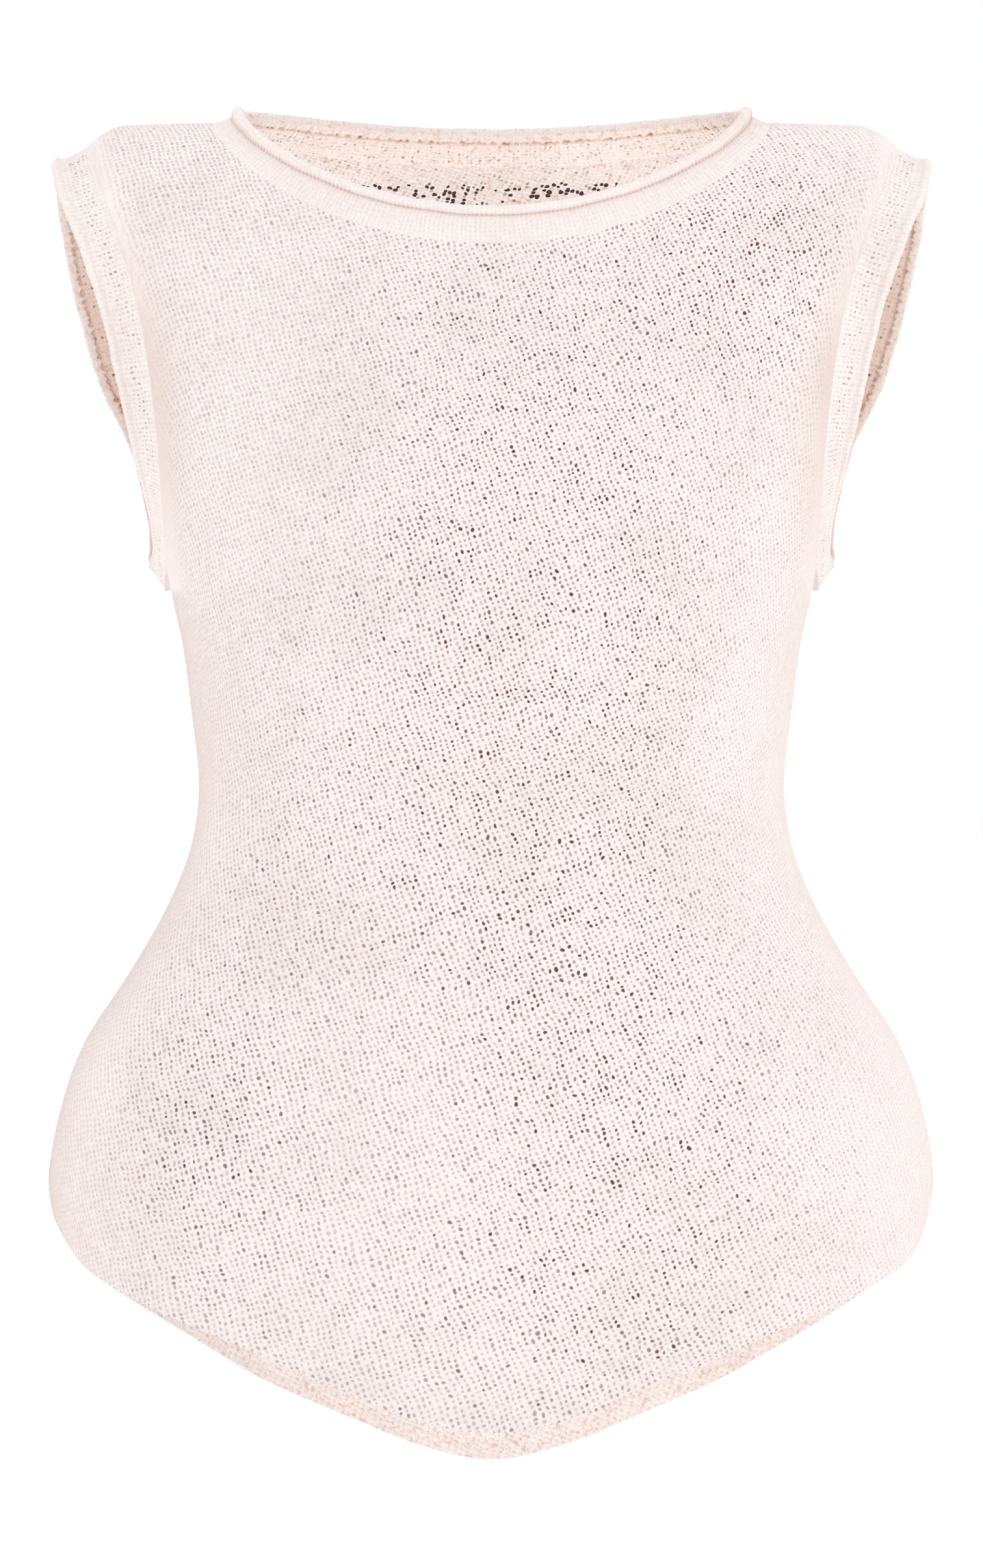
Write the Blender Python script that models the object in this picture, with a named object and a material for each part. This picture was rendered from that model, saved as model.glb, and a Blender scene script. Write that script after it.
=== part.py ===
"""Sleeveless knit top in its worn, hollow form.

Five sewn pieces: front, back, a neckband and two armhole bands with rolled edges.
Metres, +Z up, front towards -Y, the wearer's left towards +X.
The origin lies midway between the shoulders, level with the shoulder seams at the neck.
"""
import math
from collections import namedtuple

import bmesh
import bpy
from mathutils import Vector

MM = 0.001

# Cloth
WALL = 1.8 * MM
SEAM_GAP = 0.3 * MM

# Heights of the main lines, as drops below the origin
SHOULDER_TIP_DROP = 8 * MM
UNDERARM_DROP = 190 * MM
ARMHOLE_WIDEST_DROP = 105 * MM

# Shoulders
SHOULDER_TOP = 1.5 * MM
SHOULDER_SLOPE = 2.5 * MM
SHOULDER_SLOPE_AT = 150 * MM
SHOULDER_BEND_AT = 148 * MM
SHOULDER_BEND_SPAN = 15 * MM
SHOULDER_BEND_DROP = 6.5 * MM
SHOULDER_ROUND = 70 * MM
SHOULDER_TIP_HALF = 163 * MM

# Neck seam
NECK_HALF = 114 * MM
NECK_CURVE = 0.68

# Sides of a level section: 2 is an ellipse, more is squarer
SIDE_ROUNDNESS = 2.2

# Soft valley of the panels along the armhole seams
VALLEY_DEPTH = 2.4 * MM
VALLEY_WIDTH = 11 * MM

# Neckband: from the seam to the middle of its rolled edge, how far that stands out,
# the roll's radius, and how late the band narrows towards the shoulder
NeckBand = namedtuple("NeckBand", "width lift roll narrowing")
NECK_FRONT = NeckBand(15.0 * MM, 0.8 * MM, 2.1 * MM, 4)
NECK_BACK = NeckBand(17.2 * MM, 0.8 * MM, 3.0 * MM, 12)
NECK_SHOULDER = NeckBand(10.4 * MM, 3.8 * MM, 2.4 * MM, None)

# Armhole bands: from the seam to the middle of the rolled edge, and how far that stands out
ARM_ROLL_RADIUS = 1.8 * MM
ArmBand = namedtuple("ArmBand", "drop width lift")
ARM_BAND = [
    ArmBand(8, 15.9, 3.4),
    ArmBand(30, 15.3, 2.6),
    ArmBand(60, 14.1, 2.6),
    ArmBand(105, 13.9, 2.4),
    ArmBand(135, 13.9, 1.5),
    ArmBand(165, 13.9, -0.8),
    ArmBand(182, 13.9, -0.4),
    ArmBand(190, 13.9, 0.4),
]

# Shares of a roll's radius: how far its middle lies outside the band's middle,
# and how far short of it the flat strip ends
ROLL_OFFSET_SHARE = 0.3
ROLL_START_SHARE = 0.85

# Shares of a band's width where its strip has points between seam and roll
STRIP_SHARES = (0.35, 0.65)

# Level sections: drop below the origin, half widths at the panels' sides, depths at the centre
Section = namedtuple("Section", "drop front_half back_half front_depth back_depth")
SECTIONS = [
    Section(0, 164.0, 164.0, 53, 56),
    Section(8, 163.0, 163.0, 54, 59),
    Section(24, 159.6, 163.6, 58, 66),
    Section(45, 152.0, 162.0, 63, 75),
    Section(70, 144.8, 157.8, 72, 83),
    Section(100, 139.6, 150.2, 85, 91),
    Section(130, 136.2, 138.4, 99, 96),
    Section(160, 133.8, 134.0, 111, 98),
    Section(190, 131.0, 131.0, 119, 97),
    Section(215, 125.9, 125.9, 120, 92),
    Section(240, 122.7, 122.7, 112, 84),
    Section(270, 119.7, 119.7, 97, 76),
    Section(295, 123.0, 123.0, 90, 77),
    Section(320, 133.0, 133.0, 89, 85),
    Section(347, 148.5, 148.5, 92, 96),
    Section(374, 166.0, 166.0, 96, 106),
    Section(400, 175.6, 175.6, 99, 113),
    Section(427, 180.1, 180.1, 101, 116),
    Section(455, 175.6, 175.6, 101, 115),
    Section(490, 171.5, 171.5, 99, 111),
    Section(560, 166.0, 166.0, 95, 105),
]

# Hem: turn from the centre in degrees, 90 at the side seam, and drop below the origin
HemPoint = namedtuple("HemPoint", "turn front back")
HEM = [
    HemPoint(0, 525.8, 555.0),
    HemPoint(10, 521.4, 549.2),
    HemPoint(20, 510.0, 537.8),
    HemPoint(35, 493.4, 519.2),
    HemPoint(50, 480.2, 497.5),
    HemPoint(65, 468.5, 478.5),
    HemPoint(78, 456.5, 459.5),
    HemPoint(84, 449.0, 450.0),
    HemPoint(90, 438.0, 438.0),
]

Panel = namedtuple("Panel", "name side half depth hem armhole_depth neck_drop")
FRONT = Panel("front_panel", -1, "front_half", "front_depth", "front", 50 * MM, 53.6 * MM)
BACK = Panel("back_panel", 1, "back_half", "back_depth", "back", 55 * MM, 14.0 * MM)

# Mesh steps
NECK_STEPS = 10          # columns from the centre to the neck's side
SHOULDER_STEPS = 6       # columns from there to the panel's side
BODY_STEPS = 14          # rows from hem to underarm
CHEST_STEPS = 18         # rows from underarm to shoulder
ROLL_STEPS = 9           # points round a rolled edge

KNIT_COLOUR = (0.91, 0.82, 0.78, 1.0)
BAND_COLOUR = (0.93, 0.85, 0.80, 1.0)
KNIT_ROUGHNESS = 0.9


def clear_scene():
    for thing in list(bpy.data.objects):
        bpy.data.objects.remove(thing)


def smooth_value(table, column, at):
    """Value of a table's column at a place in its first column, on a smooth curve."""
    places = [row[0] for row in table]
    values = [getattr(row, column) for row in table]
    last = len(table) - 1
    at = min(max(at, places[0]), places[last])
    i = max(k for k in range(last) if places[k] <= at)

    def slope(k):
        if k in (0, last):
            return 0.0
        return (values[k + 1] - values[k - 1]) / (places[k + 1] - places[k - 1])

    span = places[i + 1] - places[i]
    t = (at - places[i]) / span
    rise = values[i + 1] - values[i]
    start, end = slope(i) * span, slope(i + 1) * span
    return values[i] + t * start + t * t * (3 * rise - 2 * start - end) + t ** 3 * (start + end - 2 * rise)


def section_size(column, z):
    return MM * smooth_value(SECTIONS, column, -z / MM)


def shoulder_height(x):
    bend = max(0.0, (abs(x) - SHOULDER_BEND_AT) / SHOULDER_BEND_SPAN)
    slope = SHOULDER_SLOPE * (x / SHOULDER_SLOPE_AT) ** 2
    return SHOULDER_TOP - slope - SHOULDER_BEND_DROP * bend ** 2


def neck_height(panel, x):
    inside = max(0.0, 1 - (x / NECK_HALF) ** 2)
    return shoulder_height(NECK_HALF) - panel.neck_drop * inside ** NECK_CURVE


def armhole_depth_squared(panel, z):
    """Squared distance of the panel's side from the plane between front and back."""
    span = UNDERARM_DROP - ARMHOLE_WIDEST_DROP
    below = max(0.0, -z - ARMHOLE_WIDEST_DROP) / span
    return panel.armhole_depth ** 2 * max(0.0, 1 - below ** 2)


def depth_squared(panel, x, z):
    """Squared distance of the panel's surface from the plane between front and back."""
    half = section_size(panel.half, z)
    centre = section_size(panel.depth, z) ** 2
    side = armhole_depth_squared(panel, z)
    share = abs(x / half) ** SIDE_ROUNDNESS
    to_top = min(1.0, (shoulder_height(x) - z) / SHOULDER_ROUND)
    return (centre - (centre - side) * share) * to_top * (2 - to_top)


def surface_normal(panel, x, z):
    """Outward normal of the surface, from the slopes of its squared depth."""
    step = 0.1 * MM
    across = (depth_squared(panel, x + step, z) - depth_squared(panel, x - step, z)) / (2 * step)
    along = (depth_squared(panel, x, z + step) - depth_squared(panel, x, z - step)) / (2 * step)
    depth = math.sqrt(max(0.0, depth_squared(panel, x, z)))
    return Vector((-across, panel.side * 2 * depth, -along)).normalized()


def valley(panel, share, z):
    """How far the panel sinks beside its armhole seam."""
    along = (-z - SHOULDER_TIP_DROP) / (UNDERARM_DROP - SHOULDER_TIP_DROP)
    if not 0 < along < 1:
        return 0.0
    from_seam = (1 - abs(share)) * section_size(panel.half, z)
    return VALLEY_DEPTH * math.sin(math.pi * along) * math.exp(-(from_seam / VALLEY_WIDTH) ** 2)


def surface_point(panel, share, z):
    """Outer point and normal at a share of the half width and a height."""
    x = share * section_size(panel.half, z)
    depth = math.sqrt(max(0.0, depth_squared(panel, x, z))) + SEAM_GAP / 2
    normal = surface_normal(panel, x, z)
    point = Vector((x, panel.side * depth, z)) - normal * valley(panel, share, z)
    return point, normal


def neck_share():
    """Share of the half width at which the neck seam meets the shoulder seam."""
    return NECK_HALF / section_size(FRONT.half, shoulder_height(NECK_HALF))


def column_shares():
    """Shares of the half width, from one side seam to the other, closest at the turns."""
    neck = neck_share()
    start = math.asin(neck)
    half = [neck * math.sin(math.pi / 2 * k / NECK_STEPS) for k in range(NECK_STEPS)]
    for k in range(SHOULDER_STEPS + 1):
        half.append(math.sin(start + (math.pi / 2 - start) * k / SHOULDER_STEPS))
    return [-share for share in reversed(half[1:])] + half


def top_height(panel, share):
    """Height where a column ends, on the neck seam or the shoulder seam."""
    z = -SHOULDER_TIP_DROP
    for _ in range(40):
        x = share * section_size(panel.half, z)
        on_neck = abs(share) < neck_share() - 1e-6
        z = neck_height(panel, x) if on_neck else shoulder_height(x)
    return z


def hem_height(panel, share):
    turn = math.degrees(math.asin(min(1.0, abs(share))))
    return -MM * smooth_value(HEM, panel.hem, turn)


def row_heights(panel, share):
    """Heights down one column: hem to underarm, then underarm to the top seam."""
    hem, top = hem_height(panel, share), top_height(panel, share)
    heights = [hem + (-UNDERARM_DROP - hem) * k / BODY_STEPS for k in range(BODY_STEPS)]
    easing = min(1.0, abs(share) / neck_share()) ** 2
    for k in range(CHEST_STEPS + 1):
        even = k / CHEST_STEPS
        eased = (1 - math.cos(math.pi * even)) / 2
        along = even + (eased - even) * easing
        heights.append(-UNDERARM_DROP + (top + UNDERARM_DROP) * along)
    return heights


def make_material(name, colour):
    material = bpy.data.materials.new(name)
    material.use_nodes = True
    shader = material.node_tree.nodes["Principled BSDF"]
    shader.inputs["Base Color"].default_value = colour
    shader.inputs["Roughness"].default_value = KNIT_ROUGHNESS
    shader.inputs["Metallic"].default_value = 0.0
    return material


def make_object(name, shape, material):
    bmesh.ops.recalc_face_normals(shape, faces=shape.faces)
    mesh = bpy.data.meshes.new(name)
    shape.to_mesh(mesh)
    shape.free()
    mesh.materials.append(material)
    mesh.shade_smooth()
    mesh.set_sharp_from_angle(angle=math.radians(50))
    made = bpy.data.objects.new(name, mesh)
    bpy.context.scene.collection.objects.link(made)
    return made


def panel_grid(panel):
    """Outer points and normals, as rows from hem to top of columns from side to side."""
    shares = column_shares()
    heights = [row_heights(panel, share) for share in shares]
    rows = []
    for i in range(BODY_STEPS + CHEST_STEPS + 1):
        rows.append([surface_point(panel, share, heights[j][i]) for j, share in enumerate(shares)])
    return rows


def split_quad(shape, corners, flip):
    """Two triangles, cut the same way on both sides of the wall."""
    a, b, c, d = corners
    if flip:
        a, b, c, d = b, c, d, a
    shape.faces.new((a, b, c))
    shape.faces.new((a, c, d))


def make_panel(panel, grid, material):
    """A closed wall: outer grid, inner grid and the rim between them."""
    shape = bmesh.new()
    outer = [[shape.verts.new(point) for point, _ in row] for row in grid]
    inner = [[shape.verts.new(point - normal * WALL) for point, normal in row] for row in grid]
    rows, columns = len(grid), len(grid[0])
    for layer in (outer, inner):
        for i in range(rows - 1):
            for j in range(columns - 1):
                corners = (layer[i][j], layer[i][j + 1], layer[i + 1][j + 1], layer[i + 1][j])
                split_quad(shape, corners, flip=j < columns // 2)
    border = [(0, j) for j in range(columns)]
    border += [(i, columns - 1) for i in range(1, rows)]
    border += [(rows - 1, j) for j in range(columns - 2, -1, -1)]
    border += [(i, 0) for i in range(rows - 2, 0, -1)]
    for (i, j), (k, m) in zip(border, border[1:] + border[:1]):
        corners = (outer[i][j], outer[k][m], inner[k][m], inner[i][j])
        split_quad(shape, corners, flip=j + m < columns)
    return make_object(panel.name, shape, material)


def joined_edge(front_edge, back_edge):
    """One closed loop of seam points from the front's edge and the back's, end to end."""
    def corner(at, beside):
        point = (front_edge[at][0] + back_edge[at][0]) / 2
        return point, (front_edge[beside][1] + back_edge[beside][1]).normalized()

    return [corner(0, 1)] + front_edge[1:-1] + [corner(-1, -2)] + back_edge[-2:0:-1]


def band_profile(width, lift, roll_radius):
    """Section of a band, along it and out of it: a strip with a round roll at its free edge."""
    half_wall = WALL / 2

    def bow(along):
        return lift * (along / width) ** 2

    roll_out = lift + ROLL_OFFSET_SHARE * roll_radius
    roll_start = width - ROLL_START_SHARE * roll_radius
    strip = [SEAM_GAP] + [share * width for share in STRIP_SHARES]
    profile = [(along, bow(along) + half_wall) for along in strip]
    first = math.atan2(bow(roll_start) + half_wall - roll_out, roll_start - width)
    last = math.atan2(bow(roll_start) - half_wall - roll_out, roll_start - width)
    first = first % (2 * math.pi)
    last = last % (2 * math.pi) - 2 * math.pi
    for k in range(ROLL_STEPS + 1):
        angle = first + (last - first) * k / ROLL_STEPS
        profile.append((width + roll_radius * math.cos(angle), roll_out + roll_radius * math.sin(angle)))
    profile += [(along, bow(along) - half_wall) for along in reversed(strip)]
    return profile


def make_band(name, loop, profile_at, towards, material):
    """Sweep a band's section round a loop of seam points; towards picks its free side."""
    shape = bmesh.new()
    middles = [point - normal * (WALL / 2) for point, normal in loop]
    rings = []
    for k, (point, normal) in enumerate(loop):
        tangent = (middles[(k + 1) % len(loop)] - middles[k - 1]).normalized()
        along = tangent.cross(normal).normalized()
        if along.dot(towards - middles[k]) < 0:
            along = -along
        out = normal - tangent * normal.dot(tangent)
        out.normalize()
        profile = profile_at(point)
        rings.append([shape.verts.new(middles[k] + along * w + out * h) for w, h in profile])
    steps = len(rings[0])
    for one, other in zip(rings, rings[1:] + rings[:1]):
        mirrored = one[0].co.x + other[0].co.x < 0
        for k in range(steps):
            n = (k + 1) % steps
            split_quad(shape, (one[k], one[n], other[n], other[k]), flip=mirrored)
    return make_object(name, shape, material)


def neckband_profile(point):
    """The band is narrowest over the shoulders, where it stands up from the seam."""
    centre = NECK_FRONT if point.y < 0 else NECK_BACK
    to_shoulder = min(1.0, abs(point.x) / NECK_HALF) ** centre.narrowing
    sizes = [mid + (end - mid) * to_shoulder for mid, end in zip(centre[:3], NECK_SHOULDER[:3])]
    return band_profile(*sizes)


def armband_profile(point):
    """The band is widest over the shoulder and stands out least above the underarm."""
    width, lift = (MM * smooth_value(ARM_BAND, column, -point.z / MM) for column in ("width", "lift"))
    return band_profile(width, lift, ARM_ROLL_RADIUS)


def main():
    clear_scene()
    knit = make_material("jersey_knit", KNIT_COLOUR)
    band_knit = make_material("band_knit", BAND_COLOUR)

    front, back = panel_grid(FRONT), panel_grid(BACK)
    make_panel(FRONT, front, knit)
    make_panel(BACK, back, knit)

    columns = len(front[0])
    neck = slice(SHOULDER_STEPS, columns - SHOULDER_STEPS)
    neck_loop = joined_edge(front[-1][neck], back[-1][neck])
    neck_middle = Vector((0, 0, 2 * NECK_HALF))
    make_band("neckband", neck_loop, neckband_profile, neck_middle, band_knit)

    for name, column, side in (("armhole_band_left", -1, 1), ("armhole_band_right", 0, -1)):
        front_edge = [row[column] for row in front[BODY_STEPS:]]
        back_edge = [row[column] for row in back[BODY_STEPS:]]
        loop = joined_edge(front_edge, back_edge)
        middle = Vector((side * 2 * SHOULDER_TIP_HALF, 0, -ARMHOLE_WIDEST_DROP))
        make_band(name, loop, armband_profile, middle, band_knit)


main()
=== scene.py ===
"""Looks of a sleeveless knit top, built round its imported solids.

Front, back, neckband and armhole bands are fine shells on the solids' own form.
Metres, +Z up, front towards -Y, the wearer's left towards +X.
"""

import math
from collections import namedtuple

import bpy
import numpy as np
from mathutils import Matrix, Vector


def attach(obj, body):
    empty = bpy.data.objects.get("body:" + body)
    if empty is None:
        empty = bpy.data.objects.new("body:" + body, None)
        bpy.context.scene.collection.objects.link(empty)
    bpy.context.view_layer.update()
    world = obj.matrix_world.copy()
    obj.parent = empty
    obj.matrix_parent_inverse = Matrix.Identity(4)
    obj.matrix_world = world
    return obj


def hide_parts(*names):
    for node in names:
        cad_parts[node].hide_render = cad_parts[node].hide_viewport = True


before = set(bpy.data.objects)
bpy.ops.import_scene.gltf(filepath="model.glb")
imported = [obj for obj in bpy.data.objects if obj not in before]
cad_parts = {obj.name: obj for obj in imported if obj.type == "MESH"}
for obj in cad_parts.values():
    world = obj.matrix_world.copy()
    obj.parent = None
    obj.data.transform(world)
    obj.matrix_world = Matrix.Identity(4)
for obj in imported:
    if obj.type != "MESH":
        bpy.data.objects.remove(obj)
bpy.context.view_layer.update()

MM = 0.001

# -------------------------------- form, as in the solids

SEAM_GAP = 0.3 * MM
SHOULDER_TIP_DROP = 8 * MM
UNDERARM_DROP = 190 * MM
ARMHOLE_WIDEST_DROP = 105 * MM
SHOULDER_TOP = 1.5 * MM
SHOULDER_SLOPE = 2.5 * MM
SHOULDER_SLOPE_AT = 150 * MM
SHOULDER_BEND_AT = 148 * MM
SHOULDER_BEND_SPAN = 15 * MM
SHOULDER_BEND_DROP = 6.5 * MM
SHOULDER_ROUND = 70 * MM
SHOULDER_TIP_HALF = 163 * MM
NECK_HALF = 114 * MM
NECK_CURVE = 0.68
SIDE_ROUNDNESS = 2.2
VALLEY_DEPTH = 2.4 * MM
VALLEY_WIDTH = 11 * MM
ARM_ROLL_RADIUS = 1.8 * MM
ROLL_OFFSET_SHARE = 0.3

# Neckband: distance from the seam to the rolled edge, how far that stands out, the roll's radius,
# and how late the band narrows towards the shoulder
NeckBand = namedtuple("NeckBand", "width lift roll narrowing")
NECK_FRONT = NeckBand(15.0 * MM, 0.8 * MM, 2.1 * MM, 4)
NECK_BACK = NeckBand(17.2 * MM, 0.8 * MM, 3.0 * MM, 12)
NECK_SHOULDER = NeckBand(10.4 * MM, 3.8 * MM, 2.4 * MM, None)

# Level sections: drop, half widths at the panels' sides, depths at the centre, in mm
Section = namedtuple("Section", "drop front_half back_half front_depth back_depth")
SECTIONS = [Section(*row) for row in (
    (0, 164.0, 164.0, 53, 56),
    (8, 163.0, 163.0, 54, 59),
    (24, 159.6, 163.6, 58, 66),
    (45, 152.0, 162.0, 63, 75),
    (70, 144.8, 157.8, 72, 83),
    (100, 139.6, 150.2, 85, 91),
    (130, 136.2, 138.4, 99, 96),
    (160, 133.8, 134.0, 111, 98),
    (190, 131.0, 131.0, 119, 97),
    (215, 125.9, 125.9, 120, 92),
    (240, 122.7, 122.7, 112, 84),
    (270, 119.7, 119.7, 97, 76),
    (295, 123.0, 123.0, 90, 77),
    (320, 133.0, 133.0, 89, 85),
    (347, 148.5, 148.5, 92, 96),
    (374, 166.0, 166.0, 96, 106),
    (400, 175.6, 175.6, 99, 113),
    (427, 180.1, 180.1, 101, 116),
    (455, 175.6, 175.6, 101, 115),
    (490, 171.5, 171.5, 99, 111),
    (560, 166.0, 166.0, 95, 105),
)]

# Armhole bands: drop, distance from the seam to the rolled edge and how far that stands out, in mm
ArmBand = namedtuple("ArmBand", "drop width lift")
ARM_BAND = [ArmBand(*row) for row in (
    (8, 15.9, 3.4),
    (30, 15.3, 2.6),
    (60, 14.1, 2.6),
    (105, 13.9, 2.4),
    (135, 13.9, 1.5),
    (165, 13.9, -0.8),
    (182, 13.9, -0.4),
    (190, 13.9, 0.4),
)]

UNDERARM_STEP = 2.2 * MM
UNDERARM_STEP_DROPS = (176 * MM, 188 * MM)

# Hem: turn from the centre in degrees, 90 at the side seam, and drop in mm
HemPoint = namedtuple("HemPoint", "turn front back")
HEM = [HemPoint(*row) for row in (
    (0, 525.8, 555.0),
    (10, 521.4, 549.2),
    (20, 510.0, 537.8),
    (35, 493.4, 519.2),
    (50, 480.2, 497.5),
    (65, 468.5, 478.5),
    (78, 456.5, 459.5),
    (84, 449.0, 450.0),
    (90, 438.0, 438.0),
)]

Panel = namedtuple("Panel", "name side half depth hem armhole_depth neck_drop")
FRONT = Panel("front_panel", -1, "front_half", "front_depth", "front", 50 * MM, 53.6 * MM)
BACK = Panel("back_panel", 1, "back_half", "back_depth", "back", 55 * MM, 14.0 * MM)

# -------------------------------- shells and stitches

CLOTH = 1.4 * MM  # thickness of the shells
NECK_COLUMNS = 50  # columns from the centre to the neck's side
SHOULDER_COLUMNS = 34  # columns from there to the panel's side
BODY_ROWS = 118  # rows from hem to underarm
CHEST_ROWS = 112  # rows from underarm to shoulder
TOP_ROUNDS = 60  # rounds that find the height where a column ends
SHARP_ANGLE = 70  # degrees between faces past which an edge stays sharp

WALE = 2.45 * MM  # width of one stitch
COURSE = 2.3 * MM  # height of one stitch
RIB = 1.95 * MM  # width of one stitch of a band
RINGS_PER_RIB = 5
ROLL_POINTS = 18
WAIST_DROP = 270

# The knitting hangs turned on the body: slopes of its lines at the centre and their change sideways
WALE_LEAN, WALE_LEAN_CHANGE = 0.36, 0.0005
COURSE_RISE, COURSE_RISE_CHANGE = 0.40, 0.0008


def smooth_value(table, column, at):
    """Values of a table's column at places in its first column, on a smooth curve."""
    places = np.array([row[0] for row in table], float)
    values = np.array([getattr(row, column) for row in table], float)
    slopes = np.zeros(len(places))
    slopes[1:-1] = (values[2:] - values[:-2]) / (places[2:] - places[:-2])
    at = np.clip(at, places[0], places[-1])
    i = np.clip(np.searchsorted(places, at, side="right") - 1, 0, len(places) - 2)
    span = places[i + 1] - places[i]
    t = (at - places[i]) / span
    rise = values[i + 1] - values[i]
    start, end = slopes[i] * span, slopes[i + 1] * span
    curve = values[i] + t * start + t * t * (3 * rise - 2 * start - end)
    return curve + t ** 3 * (start + end - 2 * rise)


def ease(value, start, end):
    """Share of the way from start to end, from 0 to 1."""
    return np.clip((value - start) / (end - start), 0, 1)


def section_size(column, z):
    """One of the body's half widths or depths, by its column's name, at heights z."""
    return MM * smooth_value(SECTIONS, column, -z / MM)


def shoulder_height(x):
    bend = np.maximum(0.0, (np.abs(x) - SHOULDER_BEND_AT) / SHOULDER_BEND_SPAN)
    return SHOULDER_TOP - SHOULDER_SLOPE * (x / SHOULDER_SLOPE_AT) ** 2 - SHOULDER_BEND_DROP * bend ** 2


def neck_height(panel, x):
    inside = np.maximum(0.0, 1 - (x / NECK_HALF) ** 2)
    return shoulder_height(NECK_HALF) - panel.neck_drop * inside ** NECK_CURVE


def armhole_depth_squared(panel, z):
    below = np.maximum(0.0, -z - ARMHOLE_WIDEST_DROP) / (UNDERARM_DROP - ARMHOLE_WIDEST_DROP)
    return panel.armhole_depth ** 2 * np.maximum(0.0, 1 - below ** 2)


def depth_squared(panel, x, z):
    """Squared distance of the panel's surface from the plane between front and back."""
    centre = section_size(panel.depth, z) ** 2
    side = armhole_depth_squared(panel, z)
    share = np.abs(x / section_size(panel.half, z)) ** SIDE_ROUNDNESS
    to_top = np.minimum(1.0, (shoulder_height(x) - z) / SHOULDER_ROUND)
    return np.maximum(0.0, (centre - (centre - side) * share) * to_top * (2 - to_top))


def unit(vectors):
    return vectors / np.maximum(1e-12, np.linalg.norm(vectors, axis=-1, keepdims=True))


def surface_normal(panel, x, z):
    step = 0.1 * MM
    across = (depth_squared(panel, x + step, z) - depth_squared(panel, x - step, z)) / (2 * step)
    along = (depth_squared(panel, x, z + step) - depth_squared(panel, x, z - step)) / (2 * step)
    depth = np.sqrt(depth_squared(panel, x, z))
    return unit(np.stack([-across, panel.side * 2 * depth, -along], axis=-1))


def valley(panel, share, z):
    """How far the panel sinks beside its armhole seam."""
    along = ease(-z, SHOULDER_TIP_DROP, UNDERARM_DROP)
    from_seam = (1 - np.abs(share)) * section_size(panel.half, z)
    return VALLEY_DEPTH * np.sin(np.pi * along) * np.exp(-(from_seam / VALLEY_WIDTH) ** 2)


def surface_points(panel, share, z):
    """Points and normals on a panel's face; share runs from -1 to 1 across it."""
    x = share * section_size(panel.half, z)
    depth = np.sqrt(depth_squared(panel, x, z)) + SEAM_GAP / 2
    normal = surface_normal(panel, x, z)
    point = np.stack([x, panel.side * depth, z], axis=-1)
    return point - normal * valley(panel, share, z)[..., None], normal


def neck_share():
    """Share of the panel's half width where the neck seam meets the shoulder seam."""
    return float(NECK_HALF / section_size(FRONT.half, shoulder_height(NECK_HALF)))


def column_shares():
    """Where the columns of points stand across a panel, closer together at its sides."""
    neck = neck_share()
    start = math.asin(neck)
    inner = neck * np.sin(np.pi / 2 * np.arange(NECK_COLUMNS) / NECK_COLUMNS)
    steps = np.arange(SHOULDER_COLUMNS + 1) / SHOULDER_COLUMNS
    half = np.concatenate([inner, np.sin(start + (np.pi / 2 - start) * steps)])
    return np.concatenate([-half[:0:-1], half])


def top_height(panel, share):
    """Heights where columns end, on the neck seam or the shoulder seam."""
    z = np.full(len(share), -SHOULDER_TIP_DROP)
    on_neck = np.abs(share) < neck_share() - 1e-6
    for _ in range(TOP_ROUNDS):
        x = share * section_size(panel.half, z)
        z = np.where(on_neck, neck_height(panel, x), shoulder_height(x))
    return z


def hem_height(panel, share):
    turn = np.degrees(np.arcsin(np.minimum(1.0, np.abs(share))))
    return -MM * smooth_value(HEM, panel.hem, turn)


def row_heights(panel, share):
    """Heights as rows from hem to top, for every column."""
    hem, top = hem_height(panel, share), top_height(panel, share)
    low = np.arange(BODY_ROWS)[:, None] / BODY_ROWS
    body = hem + (-UNDERARM_DROP - hem) * low
    even = np.arange(CHEST_ROWS + 1)[:, None] / CHEST_ROWS
    easing = np.minimum(1.0, np.abs(share) / neck_share()) ** 2
    along = even + ((1 - np.cos(np.pi * even)) / 2 - even) * easing
    return np.concatenate([body, -UNDERARM_DROP + (top + UNDERARM_DROP) * along])


# -------------------------------- soft folds

# A fold runs between two places given by distance round from the centre and drop, in mm.
# Reach is its half width, and rise how far it stands out, or sinks where negative.
Fold = namedtuple("Fold", "around_a drop_a around_b drop_b reach rise")
FRONT_FOLDS = [Fold(*row) for row in (
    (176, 196, 118, 226, 10, 1.2), (-178, 194, -124, 218, 9, 1.0),
    (170, 214, 126, 240, 8, -1.0), (-174, 210, -120, 236, 9, -0.9),
    (120, 92, 96, 168, 15, -1.1), (-122, 96, -92, 160, 14, -1.0),
    (168, 262, 104, 272, 8, -1.0), (-170, 266, -98, 270, 9, -1.2),
    (172, 284, 116, 296, 9, 1.0), (-168, 286, -120, 292, 8, 0.9),
    (176, 310, 92, 322, 10, -0.8), (-180, 306, -100, 326, 11, -0.7),
    (206, 384, 96, 344, 16, 1.0), (-204, 392, -110, 350, 15, 1.1),
    (196, 424, 70, 396, 18, -0.9), (-198, 430, -60, 402, 17, -0.8),
    (60, 60, 84, 130, 14, 0.8), (-66, 62, -80, 124, 13, 0.7),
    (30, 470, 44, 532, 14, 0.9), (-36, 462, -60, 528, 15, 1.0),
    (0, 240, 6, 330, 26, -0.8),
)]
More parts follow.
